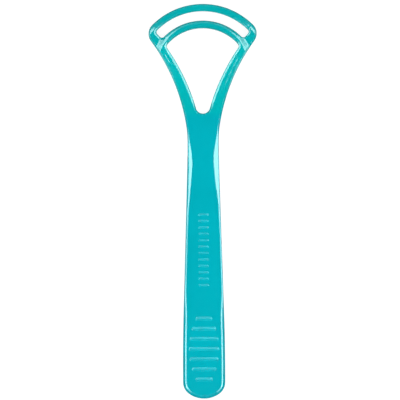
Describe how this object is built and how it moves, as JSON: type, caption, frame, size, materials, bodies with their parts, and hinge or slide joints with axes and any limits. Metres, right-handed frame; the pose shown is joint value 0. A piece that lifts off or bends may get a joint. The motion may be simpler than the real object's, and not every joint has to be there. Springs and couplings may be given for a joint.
{
  "type": "tongue scraper",
  "caption": "Moulded tongue scraper: paddle grip, waisted neck and an open fork that carries concentric scraping bows with tapered lips.",
  "frame": {"origin": "middle of the scraper's outline, on the plane that its flat back and scraping lips rest on", "axes": "+X to the scraper's right seen from its face, +Y from the grip's end towards the bows, +Z out of its face"},
  "size_m": [0.0438, 0.16, 0.0058],
  "materials": {
    "moulding": "glossy injection-moulded teal plastic"
  },
  "bodies": {
    "root": {"grip": "moulding", "neck": "moulding", "left_arm": "moulding", "right_arm": "moulding", "left_shoulder": "moulding", "right_shoulder": "moulding", "outer_bow": "moulding", "inner_bow": "moulding", "outer_lip": "moulding", "inner_lip": "moulding", "thumb_ribs": "moulding", "grip_ticks": "moulding"}
  },
  "joints": []
}
